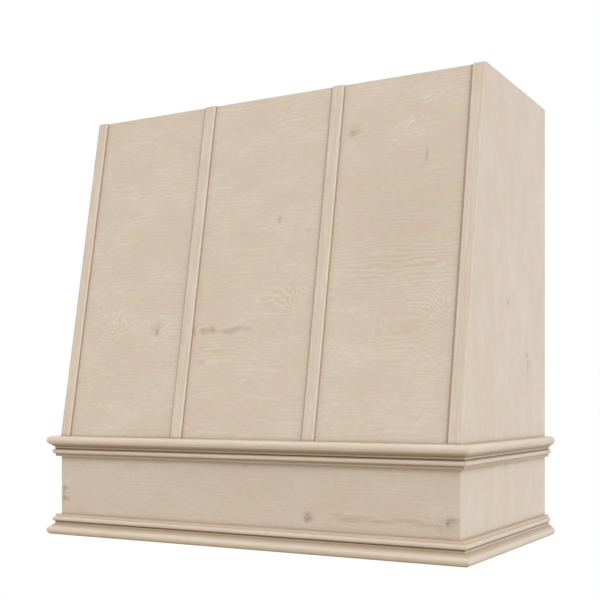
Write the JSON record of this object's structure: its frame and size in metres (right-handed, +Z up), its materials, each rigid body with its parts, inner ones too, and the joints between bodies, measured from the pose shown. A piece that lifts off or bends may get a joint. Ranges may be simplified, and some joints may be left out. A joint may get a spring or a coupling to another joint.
{
  "type": "wooden range hood cover",
  "caption": "Wall-hung wooden range hood cover with a sloped strapped front, a plain apron between wrapped mouldings, open top and a bottom panel cut out for a vent insert.",
  "frame": {"origin": "centre of the wall cleat's two screw holes, on the wall plane", "axes": "+X along the wall, to the right as seen from the room; +Y into the wall; +Z up. The front faces -Y"},
  "size_m": [0.9574, 0.5295, 0.9144],
  "materials": {
    "washed_ply": "white-washed stain on veneered plywood, satin clear coat",
    "washed_wood": "white-washed stain on solid wood, satin clear coat",
    "bare_pine": "planed, unfinished",
    "bare_ply": "sanded plywood, unfinished",
    "zinc_steel": "zinc plated"
  },
  "bodies": {
    "wall_side": {"wall_cleat": "bare_pine"},
    "cover": {"side_panel_left": "washed_ply", "side_panel_right": "washed_ply", "sloped_front_panel": "washed_ply", "apron_front_panel": "washed_ply", "strap_left_edge": "washed_wood", "strap_left_inner": "washed_wood", "strap_right_inner": "washed_wood", "strap_right_edge": "washed_wood", "upper_moulding_front": "washed_wood", "upper_moulding_left": "washed_wood", "upper_moulding_right": "washed_wood", "lower_moulding_front": "washed_wood", "lower_moulding_left": "washed_wood", "lower_moulding_right": "washed_wood", "top_front_rail": "bare_pine", "top_side_rail_left": "bare_pine", "top_side_rail_right": "bare_pine", "hanging_cleat": "bare_pine", "cleat_blocks": "bare_pine", "waist_rail": "bare_pine", "bottom_front_rail": "bare_pine", "bottom_back_rail": "bare_pine", "bottom_side_rail_left": "bare_pine", "bottom_side_rail_right": "bare_pine", "apron_corner_blocks": "bare_pine", "insert_panel": "bare_ply", "insert_panel_screws": "zinc_steel", "side_rail_screws": "zinc_steel", "apron_rail_screws": "zinc_steel", "cleat_screws": "zinc_steel", "cleat_block_screws": "zinc_steel"}
  },
  "joints": [
    {"name": "lift_off", "type": "slide", "parent": "wall_side", "child": "cover", "axis": [0, 0, 1], "range_m": [0, 0.03]}
  ]
}
